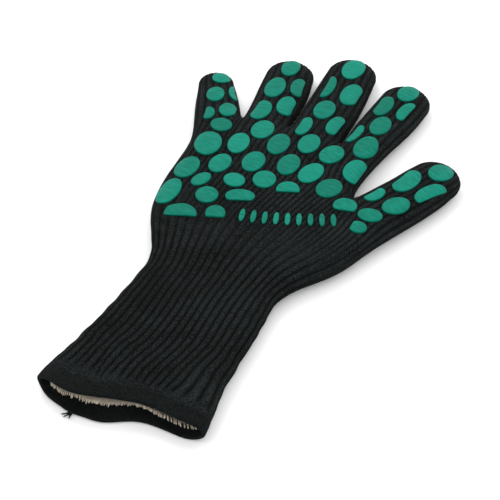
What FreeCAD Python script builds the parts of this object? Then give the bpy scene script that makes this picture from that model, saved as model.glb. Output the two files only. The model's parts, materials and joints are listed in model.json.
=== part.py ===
"""Heat resistant knit glove, long cuff, lying palm up. Millimetres, +Z up, fingertips towards +Y.

The glove is a knit shell over a cotton liner. Both are flat tubes that follow one plan outline, and
both are cut at the creases where the hand inside bends: one crease at the wrist, two in each finger
and two in the thumb. Silicone grip dots stand on the palm side.
"""
import FreeCAD, Part
import math
import os

V = FreeCAD.Vector

# --- driving dimensions -------------------------------------------------------------------------
THICKNESS = 17.0      # whole glove, lying flat
EDGE_ROUND = 7.0      # rounding of the glove's long edges
SHELL_WALL = 2.2      # outer knit
LINER_WALL = 1.6      # cotton knit
SILICONE = 0.9        # height of the grip dots over the knit
CREASE_GAP = 0.3      # slit between two neighbours at a crease
MOUTH_Y = -4.0        # open end of the cuff
HEM_WIDTH = 12.0      # band around the mouth, outside
HEM_TURN = 9.0        # the same band where it is turned inside
SEAM_WIDTH = 1.0      # thread line that closes the hem
SEAM_DEPTH = 0.6
WRIST_Y = 110.0       # crease between cuff and hand
PRINT_MARGIN = 1.5    # the print stops this far inside the glove's outline
FAR = 400.0           # reaches past everything

# --- plan outline: (x, y, corner radius), clockwise from the mouth's little-finger side ------------
LEFT_SIDE = [(-53.0, -60, 0), (-53.0, 4, 40), (-41.5, 82, 150), (-41.0, 113, 18),
             (-62.0, 150, 45), (-67.0, 185, 90), (-67.5, 222, 70)]
CROTCH_LITTLE = [(-46.0, 257.0, 1.5)]
SLIT_RING = [(-15.1, 290, 30), (-14.4, 262, 0.6), (-12.9, 262, 0.6), (-13.2, 290, 60)]
SLIT_MIDDLE = [(24.7, 289, 60), (24.3, 262, 0.6), (25.8, 262, 0.6), (26.5, 289, 60)]
INDEX_SIDE = [(58.5, 262, 150), (52.8, 236, 50)]
CROTCH_THUMB = [(54.0, 216.5, 2.5), (60.5, 224, 15)]
RIGHT_SIDE = [(84.5, 178, 150), (72.5, 150, 70), (48.5, 117, 22), (47.5, 85, 300),
              (47.8, 45, 90), (53.5, 5, 40), (53.5, -60, 0)]

# fingertip circles: centre x, centre y, radius
TIP = {"little": (-79.5, 284.5, 12.4), "ring": (-36.0, 313.0, 17.0), "middle": (3.0, 332.0, 17.5),
       "index": (47.8, 320.5, 17.6), "thumb": (94.5, 255.5, 17.8)}

# creases of each digit: middle of the first one, its angle to +X in degrees, distance to the second
CREASES = {"little": (-60.0, 259.0, 12.0, 20.0), "ring": (-33.0, 269.0, 2.0, 31.0),
           "middle": (6.0, 270.5, 2.0, 38.0), "index": (42.0, 271.5, 2.0, 31.0),
           "thumb": (75.0, 217.5, -24.0, 25.0)}

# lines that part neighbouring digits, from the crotch outwards
PARTING = {"outside|little": [(-FAR, 200), (-FAR, 380)],
           "little|ring": [(-46, 250), (-46.2, 258), (-62, 300), (-70, 380)],
           "ring|middle": [(-13.65, 250), (-13.65, 262), (-14.2, 290), (-17, 380)],
           "middle|index": [(25.05, 250), (25.05, 262), (25.6, 289), (26, 380)],
           "index|thumb": [(50, 195), (54.5, 219), (60.5, 240), (70, 285), (80, 380)],
           "thumb|outside": [(60, 100), (FAR, 100), (FAR, 380)]}


def unit(angle):
    """Direction that +X turns to."""
    return V(math.cos(math.radians(angle)), math.sin(math.radians(angle)), 0)


# --- outline ----------------------------------------------------------------------------------------
def meet(p, d, q, e):
    """Where the line through p along d crosses the line through q along e."""
    s = ((q - p).x * e.y - (q - p).y * e.x) / (d.x * e.y - d.y * e.x)
    return p + d * s


def tip_corners(base_left, base_right, name):
    """The two corners, with the tip's radius, that make a finger's sides tangent to its tip circle."""
    cx, cy, r = TIP[name]
    centre = V(cx, cy, 0)
    sides = []
    for base, turn in ((base_left, 1), (base_right, -1)):
        p = V(base[0], base[1], 0)
        to = centre - p
        angle = math.degrees(math.atan2(to.y, to.x) + turn * math.asin(r / to.Length))
        sides.append((p, unit(angle)))
    along = (sides[0][1] + sides[1][1]).normalize()
    across = V(along.y, -along.x, 0)
    top = centre + along * r
    return [(c.x, c.y, r) for c in (meet(p, d, top, across) for p, d in sides)]


def rounded_wire(corners):
    """Closed wire of straight runs and tangent arcs through (x, y, radius) corners."""
    points = [V(x, y, 0) for x, y, _ in corners]
    arcs = []
    for i, p in enumerate(points):
        a = (points[i - 1] - p).normalize()
        b = (points[(i + 1) % len(points)] - p).normalize()
        r = corners[i][2]
        half = a.getAngle(b) / 2
        back = r / math.tan(half) if r else 0
        middle = p + (a + b).normalize() * (r / math.sin(half) - r) if r else p
        arcs.append((p + a * back, middle, p + b * back))
    edges = []
    for i, (start, middle, end) in enumerate(arcs):
        before = arcs[i - 1][2]
        if (start - before).Length > 1e-3:
            edges.append(Part.makeLine(before, start))
        else:
            start = before
        if (end - start).Length > 1e-3:
            edges.append(Part.Arc(start, middle, end).toShape())
    return Part.Wire(edges)


def outline_corners():
    """All corners of the glove's plan, clockwise."""
    corners = list(LEFT_SIDE)
    corners += tip_corners(LEFT_SIDE[-1], CROTCH_LITTLE[0], "little") + CROTCH_LITTLE
    corners += tip_corners(CROTCH_LITTLE[0], SLIT_RING[0], "ring") + SLIT_RING
    corners += tip_corners(SLIT_RING[-1], SLIT_MIDDLE[0], "middle") + SLIT_MIDDLE
    corners += tip_corners(SLIT_MIDDLE[-1], INDEX_SIDE[0], "index") + INDEX_SIDE
    corners += CROTCH_THUMB + tip_corners(CROTCH_THUMB[-1], RIGHT_SIDE[0], "thumb")
    return corners + RIGHT_SIDE


def block(face, inset):
    """The glove's full shape, taken in by inset on every side and with its long edges rounded."""
    plan = face.makeOffset2D(-inset) if inset else face
    solid = plan.extrude(V(0, 0, THICKNESS - 2 * inset))
    solid.translate(V(0, 0, inset))
    levels = (inset, THICKNESS - inset)
    rims = [e for e in solid.Edges
            if any(abs(e.BoundBox.ZMin - z) < 1e-3 and abs(e.BoundBox.ZMax - z) < 1e-3 for z in levels)
            and e.BoundBox.YMax > -40]
    return solid.makeFillet(EDGE_ROUND - inset, rims)


# --- regions: prisms that cut the whole shape into the pieces that bend apart ------------------------
def prism(points):
    """Tall prism over a polygon in plan."""
    wire = Part.makePolygon([V(x, y, -50) for x, y in points + points[:1]])
    return Part.Face(wire).extrude(V(0, 0, 150))


def slab(low, high):
    """Everything with y between low and high."""
    return Part.makeBox(2 * FAR, high - low, 150, V(-FAR, low, -50))


def beyond(point, tilt, start):
    """Half space past a crease line, from start millimetres after it."""
    box = Part.makeBox(2 * FAR, FAR, 150, V(-FAR, start, -50))
    box.rotate(V(0, 0, 0), V(0, 0, 1), tilt)
    box.translate(V(point[0], point[1], 0))
    return box


def crease_point(name, which):
    """Middle of a digit's first (0) or second (1) crease."""
    x, y, _, step = CREASES[name]
    if which:
        cx, cy, _ = TIP[name]
        to = V(cx - x, cy - y, 0).normalize() * step
        return x + to.x, y + to.y
    return x, y


def digit_strip(name):
    """Prism over one digit, between the lines that part it from its neighbours."""
    sides = [line for key, line in PARTING.items() if name in key.split("|")]
    return prism(sides[0] + sides[1][::-1])


def regions():
    """Region name to the prism that holds it."""
    half_gap = CREASE_GAP / 2
    found = {"cuff": slab(MOUTH_Y + HEM_WIDTH, WRIST_Y - half_gap)}
    palm = slab(WRIST_Y + half_gap, FAR)
    for name, (_, _, tilt, _) in CREASES.items():
        strip = digit_strip(name)
        first, second = crease_point(name, 0), crease_point(name, 1)
        palm = palm.cut(strip.common(beyond(first, tilt, -half_gap)))
        digit = strip.common(beyond(first, tilt, half_gap))
        found[name + "_base"] = digit.cut(beyond(second, tilt, -half_gap))
        found[name + "_tip"] = digit.common(beyond(second, tilt, half_gap))
    found["palm"] = palm
    return found


# --- silicone --------------------------------------------------------------------------------------
# one dot: x, y, half width, half length, tilt, and where it is cut off (side, distance from its middle)
DOTS = [
    # little finger
    (-76.5, 286.5, 6.5, 6.3, 20), (-60.0, 277.5, 6.0, 9.5, 24, "right", 2.0),
    (-71.5, 267.5, 6.4, 8.5, 18), (-56.0, 255.5, 6.5, 7.5, 15, "right", 5.5),
    (-66.5, 246.5, 4.6, 6.6, 15, "left", 2.5), (-53.0, 239.0, 7.8, 7.0, 0),
    # ring finger
    (-36.5, 316.0, 6.6, 9.8, 5), (-22.5, 298.5, 6.0, 9.8, 12, "right", 3.0),
    (-37.0, 291.0, 7.1, 11.8, 6), (-22.0, 276.5, 6.6, 10.0, 5, "right", 5.0),
    (-35.5, 264.5, 7.2, 10.8, 0, "left", 4.6),
    # middle finger
    (4.0, 333.0, 7.9, 12.0, 0), (-4.8, 307.0, 5.6, 12.6, 3, "left", 1.2),
    (13.5, 306.5, 7.5, 12.0, 2, "right", 5.8), (3.5, 283.5, 7.4, 10.4, 0),
    (17.0, 271.5, 6.2, 10.2, -3, "right", 3.4), (-2.0, 261.5, 5.2, 10.2, 0, "left", 3.6),
    # index finger
    (48.5, 324.5, 7.4, 9.6, -5), (38.5, 304.5, 6.2, 11.4, -3, "left", 4.6),
    (54.5, 305.5, 5.6, 10.4, -8, "right", 2.6), (44.5, 284.0, 7.1, 10.4, -3),
    (32.0, 270.0, 4.4, 10.2, -8, "left", 2.0), (44.0, 259.5, 7.8, 11.8, -3),
    # palm, from the fingers down
    (-52.5, 218.0, 9.4, 12.2, 14), (-34.0, 226.5, 7.4, 10.8, 8), (-25.5, 246.0, 7.9, 10.0, 0),
    (-9.5, 237.0, 7.5, 11.2, 3), (8.5, 246.5, 7.4, 10.4, 0), (26.5, 243.0, 7.9, 10.0, -15),
    (47.0, 235.5, 8.2, 11.2, -3, "right", 3.8), (-36.5, 203.5, 7.2, 9.8, -6),
    (-17.0, 214.0, 7.6, 10.2, 0), (5.0, 221.5, 7.4, 10.7, 0), (21.5, 220.5, 7.4, 11.0, -14),
    (38.0, 212.5, 8.2, 9.8, -20), (-54.5, 191.0, 7.6, 11.2, -6), (-41.0, 184.5, 5.2, 7.8, -26),
    (-21.0, 193.0, 7.6, 6.6, 0), (-3.5, 202.0, 8.0, 8.2, 0), (14.5, 199.5, 8.0, 7.8, 22, "low", 2.2),
    (54.0, 201.5, 8.2, 7.6, 12, "low", 4.4), (-31.0, 173.0, 7.8, 7.8, 0),
    (-11.0, 181.0, 10.0, 6.6, 22, "low", 4.2), (-55.0, 166.0, 7.2, 12.8, 0),
    (-18.5, 160.0, 6.8, 7.6, 20, "low", 3.6), (-38.5, 149.5, 11.0, 10.4, 20, "low", 1.5),
    # thumb
    (98.0, 258.0, 8.0, 9.2, -24), (81.0, 240.5, 7.8, 12.6, -16, "left", 5.2),
    (99.5, 236.0, 7.4, 12.6, -30, "right", 2.4), (83.5, 215.5, 7.4, 10.0, -38),
    (67.0, 219.5, 5.6, 8.2, -28, "left", 2.6), (72.0, 200.0, 8.4, 6.2, 8),
    (69.0, 187.0, 6.2, 5.4, 0, "left", 4.6)]

# row of small plain grip bars below the dots
BAR_COUNT = 9
BAR_HALF_WIDTH, BAR_HALF_LENGTH = 2.0, 6.0
BAR_ARC_CENTRE, BAR_ARC_RADIUS = (-79.0, 456.0), 300.0
BAR_ARC_FROM, BAR_ARC_TO = -75.2, -64.0


def pill(x, y, half_width, half_length, tilt):
    """Upright prism over an ellipse, tilt turned from +Y."""
    if half_length >= half_width:
        ellipse = Part.Ellipse(V(0, 0, 0), half_length, half_width)
        turn = 90 + tilt
    else:
        ellipse = Part.Ellipse(V(0, 0, 0), half_width, half_length)
        turn = tilt
    body = Part.Face(Part.Wire(ellipse.toShape())).extrude(V(0, 0, 60))
    body.rotate(V(0, 0, 0), V(0, 0, 1), turn)
    body.translate(V(x, y, 0))
    return body


def cutter(x, y, tilt, side, distance):
    """What takes away one side of a dot, where the printed field ends."""
    box = {"right": Part.makeBox(40, 80, 80, V(distance, -40, -5)),
           "left": Part.makeBox(40, 80, 80, V(-distance - 40, -40, -5)),
           "low": Part.makeBox(80, 40, 80, V(-40, -distance - 40, -5))}[side]
    box.rotate(V(0, 0, 0), V(0, 0, 1), tilt)
    box.translate(V(x, y, 0))
    return box


def dot_prisms():
    """Upright prism of every grip dot."""
    made = []
    for x, y, half_width, half_length, tilt, *cut in DOTS:
        body = pill(x, y, half_width, half_length, tilt)
        if cut:
            body = body.cut(cutter(x, y, tilt, *cut))
        made.append(body)
    return made


def bar_prisms():
    """Upright prisms of the grip bars, spaced along an arc."""
    cx, cy = BAR_ARC_CENTRE
    made = []
    for i in range(BAR_COUNT):
        angle = BAR_ARC_FROM + (BAR_ARC_TO - BAR_ARC_FROM) * i / (BAR_COUNT - 1)
        at = V(cx, cy, 0) + unit(angle) * BAR_ARC_RADIUS
        made.append(pill(at.x, at.y, BAR_HALF_WIDTH, BAR_HALF_LENGTH, angle + 90))
    return made


def printed(prisms, skin, region):
    """What the prisms cut out of the silicone skin within a region, without crumbs."""
    solids = []
    for body in prisms:
        piece = body.common(region)
        if piece.Volume > 1:
            solids += [s for s in piece.common(skin).Solids if s.Volume > 1.0]
    return solids


# --- hem details -----------------------------------------------------------------------------------
STITCH_PITCH, STITCH_WIDTH, STITCH_HEIGHT, STITCH_LENGTH = 3.0, 1.2, 0.7, 4.0
YARN_TAIL_X = -27.0


def edge_stitches():
    """Short stitches inside the mouth, where the liner is sewn to the turned hem."""
    wall = SHELL_WALL + LINER_WALL
    y = MOUTH_Y + HEM_TURN - STITCH_LENGTH / 2
    made = []
    for z in (wall, THICKNESS - wall - STITCH_HEIGHT):
        for i in range(-13, 14):
            x = i * STITCH_PITCH
            made.append(Part.makeBox(STITCH_WIDTH, STITCH_LENGTH, STITCH_HEIGHT, V(x, y, z)))
    return made


def yarn_tail():
    """Knot and loose end of the yarn that closes the hem, at the lower lip."""
    knot = Part.makeSphere(1.6, V(YARN_TAIL_X, MOUTH_Y - 1.65, 1.7))
    end = Part.makeCylinder(0.7, 4.0, V(YARN_TAIL_X, MOUTH_Y - 2.0, 1.7), V(-0.35, -1, 0))
    return knot.fuse(end)


# --- build -----------------------------------------------------------------------------------------
def build():
    """Node name to its list of solids, in plan coordinates."""
    face = Part.Face(rounded_wire(outline_corners()))
    outer = block(face, 0)
    under_shell = block(face, SHELL_WALL)
    hollow = block(face, SHELL_WALL + LINER_WALL)
    whole = slab(MOUTH_Y, FAR)
    shell = outer.cut(under_shell).common(whole)
    liner = under_shell.cut(hollow).common(slab(MOUTH_Y + HEM_TURN, FAR))
    lifted = outer.copy()
    lifted.translate(V(0, 0, SILICONE))
    print_field = face.makeOffset2D(-PRINT_MARGIN).extrude(V(0, 0, 2 * THICKNESS))
    skin = lifted.cut(outer).common(print_field)

    hem_end = MOUTH_Y + HEM_WIDTH
    turned = outer.cut(hollow).common(slab(MOUTH_Y, MOUTH_Y + HEM_TURN))
    band = outer.cut(under_shell).common(slab(MOUTH_Y + HEM_TURN, hem_end))
    seam = outer.cut(block(face, SEAM_DEPTH)).common(slab(hem_end, hem_end + SEAM_WIDTH))

    nodes = {"hem_band": [turned.fuse(band).removeSplitter()], "hem_seam_thread": [seam],
             "liner_edge_stitches": edge_stitches(), "yarn_tail": [yarn_tail()]}
    dots, bars = dot_prisms(), bar_prisms()
    for name, region in regions().items():
        nodes[name + "_shell"] = [shell.common(region)]
        inner = region
        if name == "cuff":
            nodes["cuff_shell"] = [shell.common(region).cut(seam)]
            inner = slab(MOUTH_Y + HEM_TURN, WRIST_Y - CREASE_GAP / 2)
        nodes[name + "_liner"] = [liner.common(inner)]
        solids = printed(dots, skin, region)
        if solids:
            nodes[name + "_grip_dots"] = solids
    nodes["palm_grip_bars"] = printed(bars, skin, slab(WRIST_Y, FAR))
    return nodes, outer.common(whole).BoundBox


def main():
    os.makedirs("parts", exist_ok=True)
    for old in os.listdir("parts"):
        os.remove(os.path.join("parts", old))
    nodes, box = build()
    # the origin is under the middle of the glove's box, on the surface that it lies on
    shift = V(-box.Center.x, -box.Center.y, 0)
    for name, shapes in nodes.items():
        solids = [s for shape in shapes for s in shape.Solids]
        group = Part.makeCompound(solids) if len(solids) > 1 else solids[0]
        group.translate(shift)
        group.exportStep(f"parts/{name}.step")
        print(f"{name:24s} solids {len(solids):3d}  volume {group.Volume:9.1f}  valid {group.isValid()}")
    print(f"shift {shift.x:.3f} {shift.y:.3f}")
    height = THICKNESS + SILICONE + 0.1
    print(f"wrist {shift.x:.2f} {WRIST_Y + shift.y:.2f} {height:.2f}")
    for name in TIP:
        for which in (0, 1):
            x, y = crease_point(name, which)
            print(f"{name} {which} {x + shift.x:.2f} {y + shift.y:.2f} {height:.2f}")


main()
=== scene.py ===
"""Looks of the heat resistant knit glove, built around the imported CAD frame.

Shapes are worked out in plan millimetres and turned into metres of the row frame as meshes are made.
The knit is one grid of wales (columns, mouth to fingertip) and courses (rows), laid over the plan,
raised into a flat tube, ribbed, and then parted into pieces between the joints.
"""
import json
import math

import bmesh
import bpy
import numpy as np
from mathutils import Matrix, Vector, kdtree, noise
from mathutils.bvhtree import BVHTree

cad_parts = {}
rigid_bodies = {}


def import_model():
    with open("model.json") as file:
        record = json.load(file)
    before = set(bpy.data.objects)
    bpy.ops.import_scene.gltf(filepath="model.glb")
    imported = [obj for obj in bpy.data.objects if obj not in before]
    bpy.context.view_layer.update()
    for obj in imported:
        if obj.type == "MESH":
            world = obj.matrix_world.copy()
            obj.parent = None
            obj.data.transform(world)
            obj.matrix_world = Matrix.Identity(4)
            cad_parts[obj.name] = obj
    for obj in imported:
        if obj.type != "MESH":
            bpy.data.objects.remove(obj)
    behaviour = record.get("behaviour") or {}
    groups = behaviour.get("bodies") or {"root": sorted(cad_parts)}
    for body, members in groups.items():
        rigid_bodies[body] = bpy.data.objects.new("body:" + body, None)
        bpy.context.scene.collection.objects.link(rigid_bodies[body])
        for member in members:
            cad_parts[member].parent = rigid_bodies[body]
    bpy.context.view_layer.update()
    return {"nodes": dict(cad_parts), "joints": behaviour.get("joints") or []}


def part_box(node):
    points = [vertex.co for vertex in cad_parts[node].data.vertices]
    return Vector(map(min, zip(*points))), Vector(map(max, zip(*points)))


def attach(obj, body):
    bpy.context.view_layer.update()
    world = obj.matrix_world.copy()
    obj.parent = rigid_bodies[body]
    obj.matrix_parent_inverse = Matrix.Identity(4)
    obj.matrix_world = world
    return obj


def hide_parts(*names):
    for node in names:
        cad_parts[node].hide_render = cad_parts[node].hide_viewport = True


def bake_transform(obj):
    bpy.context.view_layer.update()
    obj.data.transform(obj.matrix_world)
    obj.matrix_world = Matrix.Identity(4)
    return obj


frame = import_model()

MM = 0.001
MOUTH = -4.0          # plan place of the mouth's row
HALF_MOUTH = 53.5

# --- knit ---
WALES = {"little": 14, "ring": 15, "middle": 18, "index": 17, "thumb": 20}
FINGERS = ["little", "ring", "middle", "index"]
DIGITS = FINGERS + ["thumb"]
ALL_WALES = sum(WALES.values())
PER_WALE = 2          # mesh columns in one wale
RIB_WALES = 4         # three raised wales and a sunk one
ROW = 1.4             # mesh row spacing
CAP_ROWS = 12
# length, rows at its end that gather into the next region's spans, thickness at its start and end
REGIONS = {"cuff": (116, 0, (16.5, 16.0)), "heel": (112, 26, (16.0, 16.8)), "palm": (36, 24, (16.8, 16.4))}
DIGIT_THICK = 16.4    # at a digit's root
CAP_THICK = {"little": 13.5, "ring": 14.5, "middle": 15.0, "index": 15.0, "thumb": 15.5}
CAP_FALL = 0.6        # how much thinner a tip gets over its cap
FLOOR_GAP = 0.3
RIM = 11.0            # width of the rounded rim, in plan
RIM_HEIGHT = 8.3      # height of the rounded section that the columns are spread over
RIB_DEPTH = 1.3
RIB_GAP = 0.45        # half width of a sunk wale, in wales
RIBS_FADE = (122, 186)    # the cuff's ribs fade out between these places
HAND_RIB_WALES = 2    # finer ribs on the hand
HAND_RIB_DEPTH = 0.3
WALE_DEPTH = 0.15
KNIT_WALL = 1.7

# --- outline in plan: mouth at the bottom, thumb to the right ---
LEFT = [(-53.5, -4), (-50.8, 20), (-47.3, 40), (-44.3, 60), (-42, 80), (-41, 98), (-41.2, 112),
        (-44.2, 121), (-50, 131), (-55.8, 141.5), (-60.7, 152), (-64.3, 166), (-66.1, 182),
        (-66.6, 200), (-67.1, 214), (-68.6, 224), (-71.6, 233), (-75.3, 241.5), (-79.3, 250.5),
        (-83.2, 260), (-86.9, 270), (-90.6, 279.1)]
LEFT_KNOTS = (0, 6, 15, 17, 21)            # mouth, wrist, thumb row, finger row, tip
RIGHT = [(53.5, -4), (51, 20), (48.4, 40), (47.8, 60), (47.6, 80), (46.9, 98), (46.6, 112),
         (49, 121), (55, 131), (62.6, 141), (69.6, 151), (75, 162), (79.2, 173), (83.6, 184),
         (91.5, 201), (96, 210.5), (100.4, 220), (104.7, 230), (108.5, 240), (110.6, 248)]
RIGHT_KNOTS = (0, 6, 14, 19)               # mouth, wrist, thumb row, thumb tip
INDEX_RIGHT = [(54.0, 216.6), (52.4, 222), (51.9, 230), (52.6, 242), (54.9, 258.5), (57, 270),
               (60.4, 285), (63.8, 303), (65.3, 318.7)]
INDEX_KNOTS = (0, 4, 8)                    # thumb crotch, finger row, tip
THUMB_LEFT = [INDEX_RIGHT[0], (57.2, 221.5), (61.8, 229.8), (69, 243.5), (75.2, 257), (78.4, 263)]
BETWEEN = [  # sides of the slits: left finger's right side, right finger's left side
    ([(-46.0, 257.6), (-48.3, 260.4), (-53.6, 268.8), (-61, 280), (-68.4, 289.9)],
     [(-46.0, 257.6), (-46.1, 261), (-47.8, 277), (-50.8, 296), (-52.9, 311.2)]),
    ([(-13.65, 261.8), (-14.1, 264.5), (-14.3, 278), (-14.6, 292), (-16.6, 304.5), (-19.1, 314.8)],
     [(-13.65, 261.8), (-13.2, 264.5), (-13.1, 278), (-13.3, 292), (-14, 315), (-14.5, 332)]),
    ([(25.05, 261.8), (24.6, 264.5), (24.6, 278), (24.4, 292), (22.8, 314), (20.5, 332)],
     [(25.05, 261.8), (25.5, 264.5), (25.9, 278), (27.2, 294), (28.8, 309), (30.3, 322.3)])]
CROTCHES = [left[0] for left, _ in BETWEEN]
TIPS = {"little": ((-79.5, 284.5), 12.4), "ring": ((-36.0, 313.0), 17.0),
        "middle": ((3.0, 332.0), 17.5), "index": ((47.8, 320.5), 17.6), "thumb": ((94.5, 255.5), 17.8)}
# edges of the mouth's two lips
UPPER_LIP = [(-53.5, -4), (-47, -6.2), (-40, -8.2), (-27, -9.8), (-14, -7.2), (1, -1.8), (11, 0.8),
             (21, 1.2), (35, -0.4), (45, -0.8), (53.5, 0.5)]
LOWER_LIP = [(-53.5, -4), (-48.5, -7), (-38, -10.6), (-29, -12.8), (-17, -12.7), (-9, -12), (-3, -9.6),
             (3, -6.2), (9, -3.2), (16, -1.4), (24, -1), (32, -1.3), (40, -1.5), (47, -0.4), (53.5, 0.5)]
MOUTH_ROW = np.array([LEFT[0], RIGHT[0]], float)
WRIST_ROW = np.array([LEFT[6], RIGHT[6]], float)
THUMB_ROW = np.array([LEFT[15], INDEX_RIGHT[0], RIGHT[14]], float)
FINGER_ROW = np.array([LEFT[17], *CROTCHES, INDEX_RIGHT[4]], float)


def plan_shift():
    """Plan origin in the row frame, from the boxes of the little and middle fingertips."""
    (cx, _), r = TIPS["little"]
    (_, cy), top = TIPS["middle"]
    return np.array([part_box("little_tip_shell")[0].x / MM - (cx - r),
                     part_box("middle_tip_shell")[1].y / MM - (cy + top)])


SHIFT = plan_shift()


# --- curves and patches ---
def spline(points, step=0.25):
    """Samples of the smooth curve through the points, and the sample number of each point."""
    p = np.array(points, float)
    t = np.concatenate([[0], np.cumsum(np.linalg.norm(np.diff(p, axis=0), axis=1))])
    slope = np.gradient(p, t, axis=0)
    samples, knots = [p[:1]], [0]
    for i in range(len(p) - 1):
        span = t[i + 1] - t[i]
        n = max(4, int(span / step))
        s = (np.arange(1, n + 1) / n)[:, None]
        h = [2 * s**3 - 3 * s**2 + 1, s**3 - 2 * s**2 + s, -2 * s**3 + 3 * s**2, s**3 - s**2]
        samples.append(h[0] * p[i] + h[1] * span * slope[i] + h[2] * p[i + 1] + h[3] * span * slope[i + 1])
        knots.append(knots[-1] + n)
    return np.concatenate(samples), knots


def cut(points, marks):
    """The stretches of a smooth curve between the marked points."""
    samples, knots = spline(points)
    return [samples[knots[a]:knots[b] + 1] for a, b in zip(marks, marks[1:])]


def lengths(curve):
    """Way along a curve to each of its points."""
    return np.concatenate([[0], np.cumsum(np.linalg.norm(np.diff(curve, axis=0), axis=1))])


def along(curve, shares):
    """Points at the given shares of a curve's length."""
    s = lengths(curve)
    return np.stack([np.interp(shares, s / s[-1], curve[:, k]) for k in (0, 1)], axis=-1)


def rim_profile(distance):
    """Height over the mid-plane, 0 to 1, at a distance from the outline."""
    q = np.clip(distance / RIM, 0, 1)
    return np.sqrt(1 - (1 - q) ** 2)


def rim_spacing(width, count):
    """Shares of a width at which columns stand when they are even over the rounded section."""
    x = width * (1 - np.cos(np.linspace(0, np.pi, 3001))) / 2
    z = RIM_HEIGHT * rim_profile(np.minimum(x, width - x))
    s = lengths(np.stack([x, z], axis=-1))
    return np.interp(np.linspace(0, 1, count + 1), s / s[-1], x / width)


def split_spacing(ends, counts):
    """Shares along a row of several spans, each with its own rounded section."""
    span = np.linalg.norm(np.diff(np.array(ends, float), axis=0), axis=1)
    start = np.concatenate([[0], np.cumsum(span)])
    parts = [(start[i] + span[i] * rim_spacing(span[i], n))[(1 if i else 0):] for i, n in enumerate(counts)]
    return np.concatenate(parts) / start[-1]


def patch(left, right, bottom, top, shares):
    """Coons patch between four curves. shares[j] places the columns of row j."""
    rows = len(shares)
    v = np.linspace(0, 1, rows)[:, None, None]
    u = shares[:, :, None]
    sides = [along(c, np.linspace(0, 1, rows))[:, None] for c in (left, right)]
    ends = [along(c, shares.ravel()).reshape(*shares.shape, 2) for c in (bottom, top)]
    corners = (1 - u) * ((1 - v) * bottom[0] + v * top[0]) + u * ((1 - v) * bottom[-1] + v * top[-1])
    return (1 - v) * ends[0] + v * ends[1] + (1 - u) * sides[0] + u * sides[1] - corners


def plain_shares(left, right, rows, count):
    """Column shares of each row when the whole row is one rounded section."""
    ends = [along(c, np.linspace(0, 1, rows + 1)) for c in (left, right)]
    widths = np.linalg.norm(ends[1] - ends[0], axis=1)
    return np.array([rim_spacing(w, count) for w in widths])


def smooth_step(x, low, high):
    """0 below low, 1 above high, and a smooth rise between."""
    t = np.clip((x - low) / (high - low), 0, 1)
    return t * t * (3 - 2 * t)


def cap(name, shares):
    """Grid over the half disc that closes a digit's tip."""
    centre, radius = np.array(TIPS[name][0]), TIPS[name][1]
    axis = tip_axis(name)
    across = np.array([axis[1], -axis[0]])
    p = np.sin(np.linspace(0, np.pi / 2, CAP_ROWS + 1))[:, None]
    q = 2 * shares[None, :] - 1
    x, y = q * np.sqrt(1 - p**2 / 2), p * np.sqrt(1 - q**2 / 2)
    return centre + radius * (x[..., None] * across + y[..., None] * axis)


def tip_axis(name):
    """Direction of a digit at its tip, square to the line between its sides' ends."""
    left, right = SIDES[name]
    line = right[-1] - left[-1]
    return np.array([-line[1], line[0]]) / np.linalg.norm(line)


LEFT_PARTS = cut(LEFT, LEFT_KNOTS)
RIGHT_PARTS = cut(RIGHT, RIGHT_KNOTS)
INDEX_PARTS = cut(INDEX_RIGHT, INDEX_KNOTS)
SLITS = [[spline(side)[0] for side in pair] for pair in BETWEEN]
SIDES = {"little": (LEFT_PARTS[3], SLITS[0][0]), "ring": (SLITS[0][1], SLITS[1][0]),
         "middle": (SLITS[1][1], SLITS[2][0]), "index": (SLITS[2][1], INDEX_PARTS[1]),
         "thumb": (spline(THUMB_LEFT)[0], RIGHT_PARTS[2])}


# --- plan grid ---
class Plan:
    """All patches in one welded plan mesh. Every vertex knows its wale, course and thickness."""

    def __init__(self):
        self.index, self.xy, self.wale, self.course, self.thick = {}, [], [], [], []
        self.grids, self.quads, self.rim = {}, [], set()

    def add(self, name, grid, first_wale, course, thick, closed_top=False):
        """Weld a patch in, and keep the vertex numbers of its grid."""
        rows, cols = grid.shape[:2]
        ids = np.zeros((rows, cols), int)
        for j in range(rows):
            for i in range(cols):
                key = (round(grid[j, i, 0], 3), round(grid[j, i, 1], 3))
                ids[j, i] = self.index.setdefault(key, len(self.xy))
                if ids[j, i] == len(self.xy):
                    self.xy.append(grid[j, i])
                    self.wale.append(first_wale + i / PER_WALE)
                    self.course.append(course[j])
                    self.thick.append(thick[0] + (thick[1] - thick[0]) * j / (rows - 1))
        self.rim.update(ids[:, 0], ids[:, -1])
        if closed_top:
            self.rim.update(ids[-1])
        self.quads.append(grid_quads(ids))
        self.grids[name] = ids


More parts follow.
